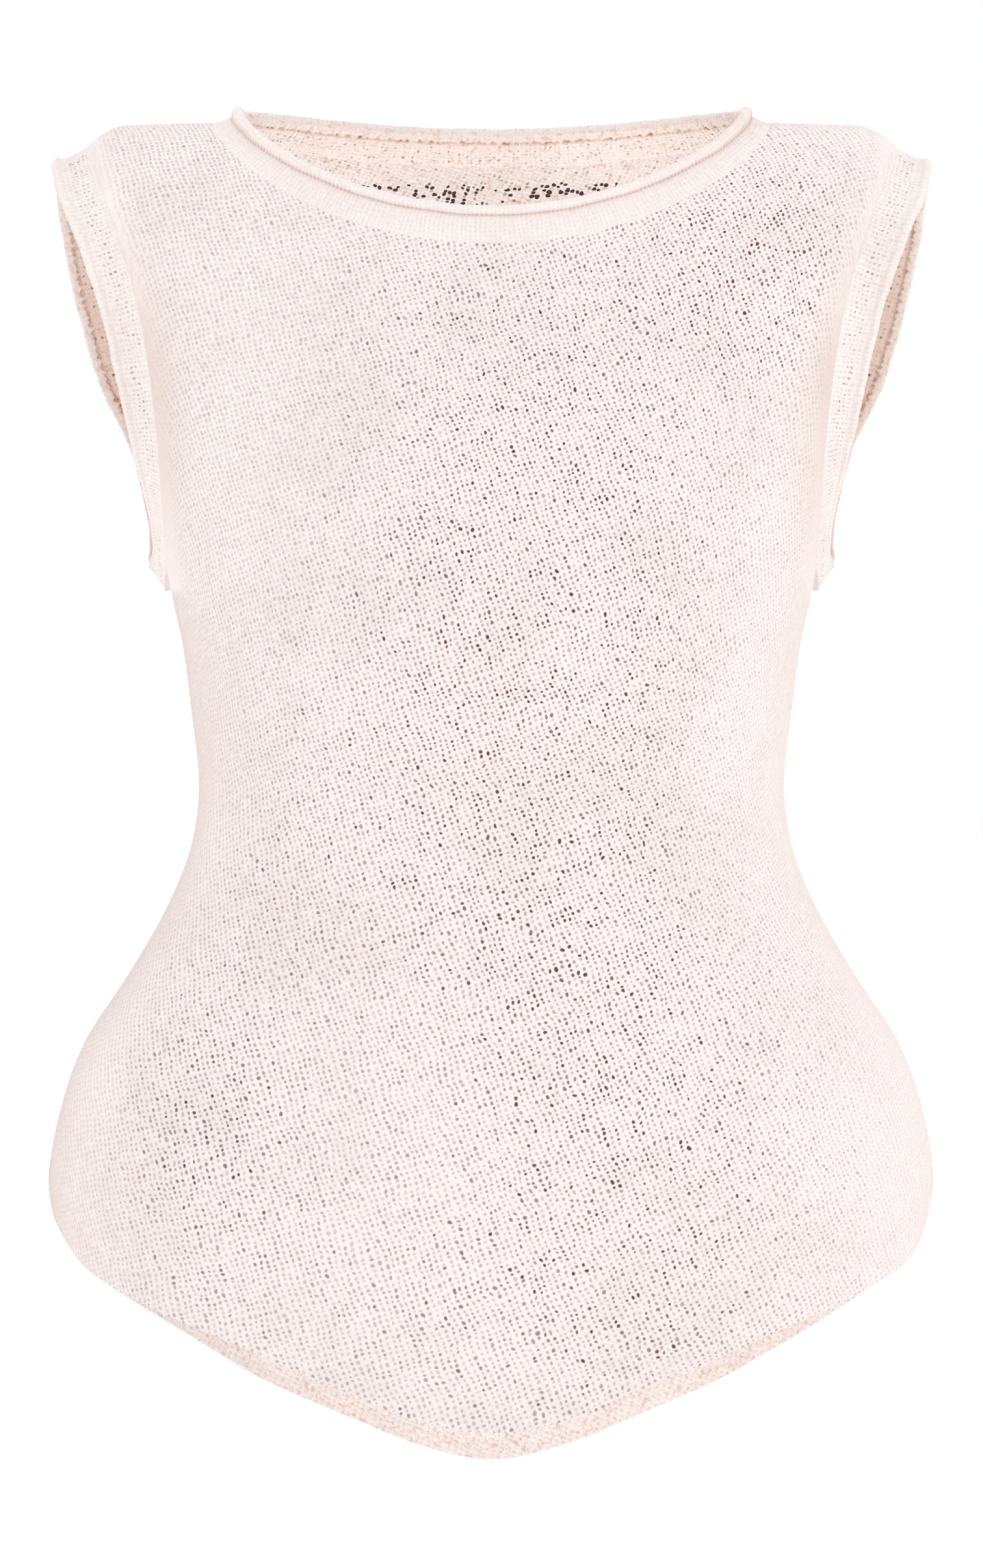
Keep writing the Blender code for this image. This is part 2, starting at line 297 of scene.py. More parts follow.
BACK_FOLDS = [Fold(*row) for row in (
    (172, 198, 100, 214, 11, 1.2), (-170, 196, -104, 220, 10, 1.1),
    (166, 216, 96, 240, 9, -1.0), (-168, 214, -100, 236, 9, -1.1),
    (150, 256, 30, 266, 9, 1.2), (-148, 260, -24, 270, 10, 1.1),
    (156, 276, 40, 284, 9, -1.3), (-154, 278, -44, 288, 9, -1.2),
    (160, 300, 52, 304, 10, 0.9), (-160, 298, -50, 306, 10, 1.0),
    (0, 70, 0, 250, 20, -1.2),
    (208, 392, 80, 352, 16, 1.0), (-206, 388, -86, 356, 16, 0.9),
    (70, 60, 60, 140, 15, 0.9), (-72, 58, -62, 136, 15, 0.8),
    (50, 480, 66, 548, 15, 1.0), (-44, 476, -58, 550, 15, 0.9),
)]
FOLD_TAIL = 0.25  # how far a fold runs out past its places, as a share of its length

# Faint unevenness everywhere: rise in mm, turns per mm round and down in radians, and their start
Wave = namedtuple("Wave", "rise round down start")
UNEVEN_CLOTH = [Wave(*row) for row in (
    (0.30, 0.051, 0.034, 1.0), (0.25, -0.038, 0.062, 2.3), (0.15, 0.110, -0.081, 0.6),
)]

HEM_FLUTTER_REACH = 16 * MM  # height over the hem within which its edge flutters
HEM_TURNED_OUT = 0.6  # how far the edge turns out, in mm
SEAM_SINK = 0.7 * MM  # how far the panels sink at the side seams
SEAM_SINK_REACH = 0.35  # distance from the seam within which they do, in mm
SIDE_CALM = 0.07  # share of the width at the sides without folds
TOP_CALM = 9  # height under neck and shoulder seams without folds, in mm


def fold_rise(folds, around, z):
    """How far the cloth stands out at each place, from its folds and a faint unevenness."""
    drop, rise = -z / MM, np.zeros_like(z)
    for fold in folds:
        run = (fold.around_b - fold.around_a, fold.drop_b - fold.drop_a)
        length = math.hypot(*run)
        du, dv = around - fold.around_a, drop - fold.drop_a
        along = np.clip((du * run[0] + dv * run[1]) / length ** 2, -FOLD_TAIL, 1 + FOLD_TAIL)
        off = np.hypot(du - along * run[0], dv - along * run[1])
        taper = np.sin(np.pi * (along + FOLD_TAIL) / (1 + 2 * FOLD_TAIL)) ** 2
        rise += fold.rise * taper * np.exp(-(off / fold.reach) ** 2)
    for wave in UNEVEN_CLOTH:
        rise += wave.rise * np.sin(wave.round * around + wave.down * drop + wave.start)
    return rise * MM


def hem_wave(around, from_hem):
    """The loose hem edge turns out a little and flutters, in metres."""
    flutter = 0.8 * np.sin(around / 17 + 0.7) + 0.5 * np.sin(around / 7.3 + 2.0)
    return (flutter + HEM_TURNED_OUT) * MM * np.exp(-(from_hem / HEM_FLUTTER_REACH) ** 2)


# -------------------------------- meshes

def add_object(name, data):
    """A new object in the scene that holds a mesh, a lamp or a camera."""
    made = bpy.data.objects.new(name, data)
    bpy.context.scene.collection.objects.link(made)
    return made


def make_object(name, points, faces, materials, face_materials, stitch, fields):
    """A mesh object with its places in the knitting as coordinates and its fields as attributes."""
    mesh = bpy.data.meshes.new(name)
    mesh.from_pydata(points.tolist(), [], faces.tolist())
    for material in materials:
        mesh.materials.append(material)
    mesh.polygons.foreach_set("material_index", face_materials.astype(np.int32))
    corner = np.empty(len(mesh.loops), np.int32)
    mesh.loops.foreach_get("vertex_index", corner)
    layer = mesh.uv_layers.new(name="stitch")
    layer.data.foreach_set("uv", stitch[corner].astype(np.float32).ravel())
    for key, values in fields.items():
        mesh.attributes.new(key, "FLOAT", "POINT").data.foreach_set("value", values.astype(np.float32))
    mesh.shade_smooth()
    mesh.set_sharp_from_angle(angle=math.radians(SHARP_ANGLE))
    mesh.update()
    return add_object(name, mesh)


def running_length(points, axis):
    """Distance along an axis of a grid of points, from its start."""
    steps = np.linalg.norm(np.diff(points, axis=axis), axis=-1)
    pad = [(1, 0) if k == axis else (0, 0) for k in range(2)]
    return np.pad(np.cumsum(steps, axis=axis), pad)


CLOTH_LOWEST = -0.565  # height just under the lowest point of the hem
CLOTH_GRID = (380, 321)  # heights and shares where the cloth is measured
LAST_CELL = 1.001  # keeps a place inside the grid's last cell


def cloth_coordinates(panel, share, z):
    """Distance round the body from the centre and up it from the waist, in mm, along the cloth."""
    levels = np.linspace(CLOTH_LOWEST, SHOULDER_TOP, CLOTH_GRID[0])
    shares = np.linspace(-1, 1, CLOTH_GRID[1])
    at_share, at_level = np.meshgrid(shares, levels)
    grid, _ = surface_points(panel, at_share, at_level)
    around, upward = running_length(grid, 1), running_length(grid, 0)
    around -= around[:, len(shares) // 2, None]
    upward -= upward[np.argmin(np.abs(levels + WAIST_DROP * MM))]
    i = np.clip((z - levels[0]) / (levels[1] - levels[0]), 0, len(levels) - LAST_CELL)
    j = np.clip((share + 1) / (shares[1] - shares[0]), 0, len(shares) - LAST_CELL)
    low_i, low_j = i.astype(int), j.astype(int)
    part_i, part_j = i - low_i, j - low_j

    def between(table):
        lower = table[low_i, low_j] * (1 - part_j) + table[low_i, low_j + 1] * part_j
        upper = table[low_i + 1, low_j] * (1 - part_j) + table[low_i + 1, low_j + 1] * part_j
        return (lower * (1 - part_i) + upper * part_i) / MM

    return between(around), between(upward)


# -------------------------------- panels

# Where the knitting looks more or less open than elsewhere, in mm as seen from outside: place from
# the centre, drop, reach sideways, reach up and down, and how much more open
Patch = namedtuple("Patch", "at drop wide tall more")
OPEN_PATCHES = [Patch(*row) for row in (
    (22, 210, 62, 150, 0.88), (70, 420, 66, 90, 0.44), (112, 62, 44, 42, 0.90),
    (-124, 400, 42, 66, 0.62), (-96, 80, 40, 50, -0.15), (40, 320, 60, 60, 0.20),
    (-100, 160, 40, 60, -0.15), (10, 480, 70, 40, 0.22), (-80, 290, 40, 60, 0.22),
    (86, 285, 34, 56, -0.16),
)]
OPEN_LEVEL = 0.44  # openness outside these patches
OPEN_AT_SIDES = 0.14  # share of it left at the sides
OPEN_REACH = 230  # distance round the body from the centre to a side, in mm
WAIST_LOSS = 60  # how much shorter that is at the waist
WAIST_SPAN = 90  # drop over which the waist narrows
OPEN_SHARE = 0.80  # share of that past which the knitting looks closed

PURL_OPENNESS = 0.8  # openness of the inside
HEM_STRIP = 22 * MM  # height of the closed strip inside the hem
HEM_STRIP_LOSS = 0.7  # openness that is lost there
HEM_STRIP_SHADE = 0.05  # shade at its edge
BELT_DROP, BELT_REACH = 26, 7.0  # belt of big gaps inside the back neck, in mm
BELT_HALF, BELT_FADE = 72, 12  # its half length and the fade at its ends
BELT_OPENNESS = 1.15  # what it adds to the openness of the inside
BELT_MIDDLE, BELT_AT_MIDDLE = (5, 20), 0.5  # where its middle thins out, and the share left there

SIDE_SHADE_REACH = 6  # how near the sides the painted shade and openness change, in mm
SIDE_SHADE, LEFT_SIDE_SHADE = 0.22, 0.66  # painted shade at both sides, and what the left adds
ARM_SHADE = 0.95  # painted shade in the valley beside the armholes
ARM_SHADE_DROPS = (40, 100)  # drops between which that shade sets in, in mm
ARM_OPENNESS_LOSS = (0.8, 0.9)  # openness lost in the valley and at the armhole seam
LEFT_FROM, LEFT_FADE = -40, 30  # where the left begins and how gently, in mm
FURROW, LEFT_FURROW = 0.65, 0.35  # relief and painted shade lines between columns, and what the left adds
ARM_FURROW_LOSS = 0.9  # share of both that is lost at the armhole seam


def openness(panel, around, z):
    """How open the knitting looks: most where it's stretched over the body's middle."""
    drop = -z / MM
    reach = OPEN_REACH - WAIST_LOSS * np.exp(-((drop - WAIST_DROP) / WAIST_SPAN) ** 2)
    side = np.clip(1 - (np.abs(around) / (OPEN_SHARE * reach)) ** 4, 0, 1)
    seen = -panel.side * around
    level = np.full_like(z, OPEN_LEVEL)
    for patch in OPEN_PATCHES:
        off = ((seen - patch.at) / patch.wide) ** 2 + ((drop - patch.drop) / patch.tall) ** 2
        level += patch.more * np.exp(-off)
    return np.clip(level * (OPEN_AT_SIDES + (1 - OPEN_AT_SIDES) * side), 0, 1.0)


def inside_openness(panel, around, z, from_hem):
    """Small gaps on the purl side, and a belt of big ones below the neckband at the back."""
    gaps = PURL_OPENNESS - HEM_STRIP_LOSS * np.exp(-(from_hem / HEM_STRIP) ** 2)
    if panel is BACK:
        off = np.abs(around)
        outward = BELT_AT_MIDDLE + (1 - BELT_AT_MIDDLE) * ease(off, *BELT_MIDDLE)
        along = outward * ease(off, BELT_HALF, BELT_HALF - BELT_FADE)
        gaps += BELT_OPENNESS * np.exp(-((-z / MM - BELT_DROP) / BELT_REACH) ** 4) * along
    return gaps


# Where a panel's points lie: share of its half width, height, distances round and up along the cloth,
# heights over the hem and under the top, distance from the side, and whether below or beside the armhole
Places = namedtuple("Places", "share z around upward from_hem from_top from_side below_arm beside_arm")


def panel_places(panel):
    """Where the points of a panel lie, as rows from hem to top."""
    shares = column_shares()
    z = row_heights(panel, shares)
    share = np.broadcast_to(shares, z.shape)
    around, upward = cloth_coordinates(panel, share, z)
    from_top = (top_height(panel, shares) - z) / MM
    from_side = (1 - np.abs(share)) * section_size(panel.half, z) / MM
    below_arm = ease(-z, UNDERARM_DROP, UNDERARM_DROP + 4 * MM)
    beside_arm = valley(panel, share, z) / VALLEY_DEPTH
    return Places(share, z, around, upward, z - z[:1], from_top, from_side, below_arm, beside_arm)


def panel_rise(panel, folds, at):
    """How far a panel's cloth stands off its plain form: folds, the hem's flutter and sunk seams."""
    rise = fold_rise(folds, at.around, at.z)
    rise *= 1 - np.exp(-((1 - np.abs(at.share)) / SIDE_CALM) ** 2)
    rise *= 1 - np.exp(-(at.from_top / TOP_CALM) ** 2)
    rise += hem_wave(at.around * np.sign(panel.side), at.from_hem)
    return rise - SEAM_SINK * np.exp(-at.from_side / SEAM_SINK_REACH) * at.below_arm


def panel_faces(panel, rows, columns):
    """Faces of a panel's outer sheet, inner sheet and rim, with 1 for the inner sheet's material."""
    count = rows * columns
    index = np.arange(count).reshape(rows, columns)
    quads = np.stack([index[:-1, :-1], index[:-1, 1:], index[1:, 1:], index[1:, :-1]], axis=-1)
    quads = quads.reshape(-1, 4)
    border = np.concatenate([index[0], index[1:, -1], index[-1, -2::-1], index[-2:0:-1, 0]])
    following = np.roll(border, -1)
    rim = np.stack([following, border, border + count, following + count], axis=-1)
    if panel.side > 0:
        quads, rim = quads[:, ::-1], rim[:, ::-1]
    kinds = np.concatenate([np.zeros(len(quads)), np.ones(len(quads)), np.zeros(len(rim))])
    return np.concatenate([quads, quads[:, ::-1] + count, rim]), kinds


def panel_fields(panel, at):
    """How open a panel's knitting looks, how much painted shade it carries and how furrowed it is, for its
    outer and then its inner sheet.
    """
    seen = -panel.side * at.around
    leftward = 1 / (1 + np.exp((seen - LEFT_FROM) / LEFT_FADE))
    near_side = at.from_side / SIDE_SHADE_REACH
    # painted shade along the sides below the armholes, deeper on the left
    painted_side_shade = np.exp(-near_side) * (SIDE_SHADE + LEFT_SIDE_SHADE * leftward) * at.below_arm
    by_arm = np.exp(-near_side ** 2) * (1 - at.below_arm)
    # painted shade in the recess beside each armhole seam
    painted_valley_shade = ARM_SHADE * at.beside_arm * ease(-at.z / MM, *ARM_SHADE_DROPS)
    closed = np.maximum(ARM_OPENNESS_LOSS[0] * at.beside_arm, ARM_OPENNESS_LOSS[1] * by_arm)
    outside = {
        "openness": openness(panel, at.around, at.z) * (1 - closed),
        "shade": np.maximum(painted_side_shade, painted_valley_shade),
        "furrow": (FURROW + LEFT_FURROW * leftward) * (1 - ARM_FURROW_LOSS * by_arm),
    }
    inside = {
        "openness": inside_openness(panel, at.around, at.z, at.from_hem),
        "shade": HEM_STRIP_SHADE * np.exp(-(at.from_hem / HEM_STRIP) ** 2),
        "furrow": np.ones_like(at.z),
    }
    return {key: np.concatenate([outside[key].ravel(), inside[key].ravel()]) for key in outside}


def panel_stitches(panel, at):
    """Each point's place in the knitting, counted in stitches across and up."""
    seen = -panel.side * at.around
    wale = (seen + at.upward * (WALE_LEAN + WALE_LEAN_CHANGE * seen)) * MM / WALE
    course = (at.upward - COURSE_RISE * seen - COURSE_RISE_CHANGE / 2 * seen ** 2) * MM / COURSE
    return np.stack([wale, course], axis=-1).reshape(-1, 2)


def make_panel(panel, folds, outside, inside):
    """A panel's knit shell: an outer sheet, an inner one a cloth's thickness in, and a rim."""
    at = panel_places(panel)
    base, normal = surface_points(panel, at.share, at.z)
    outer = base + normal * panel_rise(panel, folds, at)[..., None]
    inner = outer - normal * CLOTH
    faces, kinds = panel_faces(panel, *at.z.shape)
    points = np.concatenate([outer.reshape(-1, 3), inner.reshape(-1, 3)])
    return make_object(panel.name + "_knit", points, faces, [outside, inside], kinds,
                       np.tile(panel_stitches(panel, at), (2, 1)), panel_fields(panel, at))


# -------------------------------- bands

LOOP_EASING = 3.0 * MM  # distance over which a loop's corners are eased
NORMAL_EASINGS, POINT_EASINGS = 4, 2  # how often its normals and its points are


def even_loop(points, normals, rings):
    """A closed loop of points and normals at even distances, with the normals' turns eased."""
    closed = np.concatenate([points, points[:1]])
    length = np.concatenate([[0], np.cumsum(np.linalg.norm(np.diff(closed, axis=0), axis=1))])
    total = length[-1]
    at = np.arange(rings) * total / rings

    def spread(values):
        values = np.concatenate([values, values[:1]])
        return np.stack([np.interp(at, length, values[:, k]) for k in range(3)], axis=-1)

    points, normals = spread(points), spread(normals)
    reach = max(1, round(LOOP_EASING * rings / total))
    for _ in range(NORMAL_EASINGS):
        normals = (np.roll(normals, reach, 0) + normals + np.roll(normals, -reach, 0)) / 3
    for _ in range(POINT_EASINGS):
        points = (np.roll(points, reach // 2, 0) + points + np.roll(points, -(reach // 2), 0)) / 3
    return points, unit(normals)


def uneven(at, seed, waves):
    """A smooth random-looking wave round a closed loop, from a few sines; at runs 0 to 1."""
    generator = np.random.default_rng(seed)
    total = np.zeros_like(at)
    for count in waves:
        total += generator.uniform(0.5, 1.0) * np.sin(2 * np.pi * (count * at + generator.uniform()))
    return total / len(waves)


# How a band is knitted: size at each place, step of its seam edge, how far the line outside the roll is
# filled, that line's painted shade, openness of face and inside, painted shades of the inside, of the line
# inside the roll and of the roll, the roll's point where its purl side starts, and the drop where the
# roll's painted shade deepens
BandLook = namedtuple("BandLook", "size step filled line face_open inside_open inside_shade seam "
                      "curl_shade purl_from low_drop")

# A band's seam cut up into rings: its points in the middle of the cloth, the ways along the strip and
# out of it, and the number of ribs
Rings = namedtuple("Rings", "middle along out ribs")

# What changes round a band: width of the strip, how far its edge stands out, radius of the roll, its
# lumps and scallops, the ribs' wave, step at the underarm, how low each ring lies, and blotches of the
# painted shade lines
Form = namedtuple("Form", "width lift roll lump scallop rib step low blotched")

# One point of a band's cross-section, for all its rings: distance along the strip and out of it, shade,
# openness, and place in the knitting across the band
Point = namedtuple("Point", "along out shade openness across")

# Waves round a band, counted round the loop or for each rib, and how large they are
WIDTH_WAVES, WIDTH_WAVE = (5, 9, 14, 23), 0.5 * MM
LUMP_WAVES, LUMP_SHARE = (37, 52, 71, 98), 0.10
SCALLOPS_PER_RIB, SCALLOP = (0.31, 0.43, 0.57, 0.75), 1.7 * MM
BLOTCHES_PER_RIB, BLOTCH_LEVEL, BLOTCH = (0.13, 0.22, 0.37), 0.75, 0.6

LOW_SPAN = 60  # drop in mm over which the roll's painted shade deepens
STRIP_SHARES = [0.0, 0.03, *np.linspace(0.1, 1.0, 10)]
ROLL_JOIN = 0.98  # where the strip meets the roll, in radii before its middle
SEAM_OVERLAP = 0.3 * MM  # how far the strip's face reaches over the panel's edge
SEAM_EDGE_DROP = 0.25 * MM  # how far its edge sinks there
INSIDE_START = 0.05 * MM  # where its inside starts
RIB_LOW, RIB_HIGH = 0.08, 0.14  # height of the ribs at the seam, and what the roll adds, in mm
RIB_INSIDE, RIB_ON_ROLL = 0.12 * MM, 0.10 * MM  # and on the strip's inside and the roll
FILL = 0.6 * MM  # height that fills the roll's outer line
GROOVE = 0.3 * MM  # depth of that line where it isn't filled
ROLL_FIRST, ROLL_FILLED, ROLL_LAST = 172, 34, -138  # turn of the roll's ends, in degrees
SCALLOP_FROM = 0.66  # share of the roll past which its inner edge is scalloped
CURL_SETS_IN, LOW_SETS_IN = (0.3, 0.5), (0.14, 0.34)  # shares of the roll over which its painted shades set in
SEAM_SHADE_FROM = 0.84  # share of the roll past which painted shadow darkens its inner line
LOW_SHADE = 0.45  # painted shade that the roll gains at the band's low end
INSIDE_TOP_SHADE, INSIDE_LOW = 0.6, 0.6  # painted shade of the strip's inside at the top, and what its low end adds


def band_rings(loop, towards):
    """Rings at even distances along a loop of seam points, with the strip's way towards a place."""
    points, normals = loop
    closed = np.concatenate([points, points[:1]])
    ribs = round(np.linalg.norm(np.diff(closed, axis=0), axis=1).sum() / RIB)
    points, normals = even_loop(points, normals, ribs * RINGS_PER_RIB)
    middle = points - normals * (CLOTH / 2)
    tangent = unit(np.roll(middle, -2, 0) - np.roll(middle, 2, 0))
    along = unit(np.cross(tangent, normals))
    along *= np.sign(np.sum(along * (np.array(towards) - middle), axis=1))[:, None]
    out = unit(normals - tangent * np.sum(normals * tangent, axis=1)[:, None])
    return Rings(middle, along, out, ribs)


def band_form(rings, look, seed):
    """What changes from ring to ring of a band, made uneven as knitting is."""
    count = len(rings.middle)
    at = np.arange(count) / count
    width, lift, roll = look.size(rings.middle)

    def per_rib(shares):
        return tuple(int(rings.ribs * share) for share in shares)

    return Form(
        width=width + uneven(at, seed + 1, WIDTH_WAVES) * WIDTH_WAVE,
        lift=lift,
        roll=roll,
        lump=uneven(at, seed, LUMP_WAVES) * LUMP_SHARE * roll,
        scallop=uneven(at, seed + 2, per_rib(SCALLOPS_PER_RIB)) * SCALLOP,
        rib=np.cos(2 * np.pi * np.arange(count) / RINGS_PER_RIB),
        step=look.step(rings.middle),
        low=ease(-rings.middle[:, 2] / MM, look.low_drop, look.low_drop + LOW_SPAN),
        blotched=BLOTCH_LEVEL + BLOTCH * uneven(at, seed + 3, per_rib(BLOTCHES_PER_RIB)))


def band_face(look, form):
    """The strip's face, from the seam to the roll."""
    start = form.width - ROLL_JOIN * form.roll
    for share in STRIP_SHARES:
        along = -SEAM_OVERLAP + (start + SEAM_OVERLAP) * share
        ribs = (RIB_LOW + RIB_HIGH * ease(share, 0.25, 0.75)) * MM * form.rib
        fill = look.filled * ease(share, 0.6, 1.0) ** 2 * FILL
        out = form.lift * (along / form.width) ** 2 + CLOTH / 2 + ribs + fill
        groove = (1 - look.filled) * GROOVE * (share > 0.99)
        out = out - groove + (form.step if share > 0 else -SEAM_EDGE_DROP)
        # painted shade in the crevice line under the roll, toothed by the ribs
        shade = look.line * ease(share, 0.87, 1.0) * np.clip(form.rib + 5 * share - 4, 0, 1)
        openness = look.face_open * math.exp(-((share - 0.5) / 0.3) ** 4)
        yield Point(along, out, shade, openness, along / RIB)


def band_roll(look, form):
    """The curled edge, from the strip's face round to its inside."""
    first, last = math.radians(ROLL_FIRST - ROLL_FILLED * look.filled), math.radians(ROLL_LAST)
    middle = form.lift + ROLL_OFFSET_SHARE * form.roll
    toothed = (0.6 + 0.4 * form.rib) * form.blotched
    for k in range(ROLL_POINTS):
        share = k / (ROLL_POINTS - 1)
        angle = first + (last - first) * share
        size = form.roll + form.lump * math.sin(math.pi * share) + RIB_ON_ROLL * form.rib
        size = size + form.scallop * ease(share, SCALLOP_FROM, 1.0)
        # painted shade: the crevice line by the face, the curled purl side, the low end and the shadow
        # line inside
        shade = look.line * max(0.0, 1 - k / 1.3) * toothed
        shade = shade + look.curl_shade * ease(share, *CURL_SETS_IN)
        shade = shade + LOW_SHADE * form.low * ease(share, *LOW_SETS_IN)
        shade = np.minimum(1.0, shade + look.seam * ease(share, SEAM_SHADE_FROM, 1.0) * form.blotched)
        along, out = form.width + size * math.cos(angle), middle + size * math.sin(angle)
        yield Point(along, out, shade, 0.0, (form.width + form.roll * (first - angle)) / RIB)


def band_inside(look, form):
    """The strip's inside, from the roll back to the seam."""
    start = form.width - ROLL_JOIN * form.roll
    for share in STRIP_SHARES[::-1]:
        along = INSIDE_START + (start - INSIDE_START) * share + form.scallop * 0.6 * (share > 0.95)
        out = form.lift * (along / form.width) ** 2 - CLOTH / 2 - RIB_INSIDE * form.rib
        out = out + (form.step if share > 0 else 0.0)
        # painted shade on the strip's inside, deeper low down, with a blotched shadow line beside the roll
        shade = look.inside_shade * (INSIDE_TOP_SHADE + INSIDE_LOW * form.low) * min(1.0, 1.7 * share)
        shade = np.minimum(1.0, shade + 0.6 * look.seam * (share > 0.9) * form.blotched)
        openness = look.inside_open * math.exp(-((share - 0.5) / 0.5) ** 6)
        yield Point(along, out, shade, openness, along / RIB)


def make_band(name, loop, towards, look, seed, outside, inside):
    """A knitted band with ribs and a curled edge, swept round a loop of seam points."""
    rings = band_rings(loop, towards)
    form = band_form(rings, look, seed)
    section = [*band_face(look, form), *band_roll(look, form), *band_inside(look, form)]
    shape = (len(section), len(rings.middle))

    def gather(column):
        return np.stack([np.broadcast_to(getattr(point, column), shape[1]) for point in section])

    grid = rings.middle + rings.along * gather("along")[..., None] + rings.out * gather("out")[..., None]
    number = np.arange(shape[0] * shape[1]).reshape(shape)
    next_ring, next_point = np.roll(number, -1, 1), np.roll(number, -1, 0)
    faces = np.stack([number, next_point, np.roll(next_point, -1, 1), next_ring], axis=-1).reshape(-1, 4)
    points = grid.reshape(-1, 3)
    a, b, c = (points[faces[:shape[1], n]] for n in range(3))
    if np.sum(np.cross(b - a, c - a) * rings.out) < 0:
        faces = faces[:, ::-1]
    kinds = np.zeros(shape)
    kinds[len(STRIP_SHARES) + look.purl_from:shape[0] - 1] = 1
    run = np.broadcast_to(np.arange(shape[1]) / RINGS_PER_RIB, shape)
    stitch = np.stack([run + 0.5, gather("across")], axis=-1).reshape(-1, 2)
    fields = {"openness": gather("openness").ravel(), "shade": gather("shade").ravel(),
              "furrow": np.ones(shape).ravel()}
    return make_object(name + "_knit", points, faces, [outside, inside], kinds.ravel(), stitch, fields)


# -------------------------------- materials

class Graph:
    """A material's nodes, made by short calls that take sockets or numbers."""

    def __init__(self, name):
        self.material = bpy.data.materials.new(name)
        self.material.use_nodes = True
        self.tree = self.material.node_tree
        self.shader = self.tree.nodes["Principled BSDF"]

    def set(self, socket, value):
        if isinstance(value, bpy.types.NodeSocket):
            self.tree.links.new(value, socket)
        else:
            socket.default_value = value

    def node(self, kind, output=0, settings=None, **inputs):
        made = self.tree.nodes.new(kind)
        for key, value in (settings or {}).items():
            setattr(made, key, value)
        for key, value in inputs.items():
            self.set(made.inputs[key.replace("_", " ")], value)
        return made.outputs[output]

    def operate(self, kind, operation, values):
        made = self.tree.nodes.new(kind)
        made.operation = operation
        for socket, value in zip(made.inputs, values):
            self.set(socket, value)
        return made.outputs[0]

    def calc(self, operation, *values):
        return self.operate("ShaderNodeMath", operation, values)

    def vector(self, operation, *values):
        return self.operate("ShaderNodeVectorMath", operation, values)

    def fix(self, values):
        for key, value in values.items():
            self.shader.inputs[key].default_value = value

    def parts(self, value):
        made = self.tree.nodes.new("ShaderNodeSeparateXYZ")
        self.set(made.inputs[0], value)
        return made.outputs

    def noise(self, place, scale, detail, output=0, flat=False):
        return self.node("ShaderNodeTexNoise", output, {"noise_dimensions": "2D" if flat else "3D"},
                         Vector=place, Scale=scale, Detail=detail)

    def ramp(self, value, low, high, start=0.0, end=1.0):
        return self.node("ShaderNodeMapRange", settings={"interpolation_type": "SMOOTHSTEP"},
                         Value=value, From_Min=low, From_Max=high, To_Min=start, To_Max=end)

    def mix(self, share, one, other):
        made = self.tree.nodes.new("ShaderNodeMix")
        made.data_type = "RGBA"
        self.set(made.inputs[0], share)
        self.set(made.inputs[6], one)
        self.set(made.inputs[7], other)
        return made.outputs[2]

    def attribute(self, name):
        return self.node("ShaderNodeAttribute", 2, {"attribute_name": name})


# How a knit looks: base colour, colour of its hollows (their painted shade, and its flecks) and of its
# gaps (the painted shade seen through them), whether its purl side shows, size of the gaps, how alike they
# are and how few are dark, share of hollow colour painted as shade between columns and in flecks, and
# strength of the relief
KnitLook = namedtuple("KnitLook", "colour hollow gap purl gap_size alike rarity furrow flecks relief")

# A stitch, as a material sees it: how far up it lies counted in stitches, the place across and up within
# it, three chances of its own, its luck, and how dark its column runs there
Stitch = namedtuple("Stitch", "t in_s in_t chance luck run")

# Bends of the lines of stitches: scale of the noise, its detail and how far it moves them, in stitches
DRIFT = (0.10, 2.0, (1.8, 1.8, 0.0))
WOBBLE = (0.55, 1.0, (0.45, 0.9, 0.0))
LUCK_SHIFT = (7.3, 3.1, 0.0)  # gives a stitch's luck other numbers than its chances
RUN_STRETCH = 0.24  # runs of dark stitches follow the columns

# Gaps: middle and spread within the stitch, height against width, size and spread, growth by luck and
# where the openness is over 1, and softness of the edge
GAP_MIDDLE, GAP_SPREAD, GAP_FLATNESS = (0.41, 0.36), (0.18, 0.28), 0.84
GAP_SIZE, GAP_SIZE_SPREAD, GAP_LUCK_GROWTH, GAP_BELT_GROWTH = 0.16, 0.07, 0.05, 1.75
GAP_EDGE = (-0.09, 0.07)
# How dark the painted shade seen through the gaps is: its share by luck, the runs that deepen it, and the
# luck that darkens the belt
GAP_DARKNESS, GAP_RUN, BELT_LUCK = 0.64, (0.42, 0.70), (0.64, 0.80)

# Relief: slant of the stitches' legs, and shares of the wave and the column in the height
Relief = namedtuple("Relief", "slant wave column")
FACE_RELIEF, PURL_RELIEF = Relief(0.9, 0.45, 0.6), Relief(1.6, 0.75, 0.25)
GAP_DEPTH, FIBRE_SCALE, FIBRE_HEIGHT = 0.45, 1400.0, 0.5
BUMP_HEIGHT = 0.45 * MM

# Tones beside the base colour: darker clouds, a painted highlight on the tops of stitches, and flecks
CLOUD_TONE, HIGHLIGHT_TONE, HIGHLIGHT_LIMIT = (0.955, 0.935, 0.935), 1.055, 0.97
CLOUD_SCALE, FLECK_SCALE = 16.0, 520.0
PURL_SHADOW = (1.15, 1.50, 0.0, 0.55)  # painted shade and flecks between which a purl side turns gap coloured, as broken painted shadow
MATT_YARN = {"Roughness": 0.92, "Specular IOR Level": 0.12, "Sheen Weight": 0.04, "Sheen Roughness": 0.6}
WHITE = (1.0, 1.0, 1.0, 1.0)


def bent(g, place, bend, start):
    """A place in the knitting moved by a slow noise."""
    scale, detail, reach = bend
    return g.vector("MULTIPLY_ADD", g.noise(start, scale, detail, 1, True), reach, place)


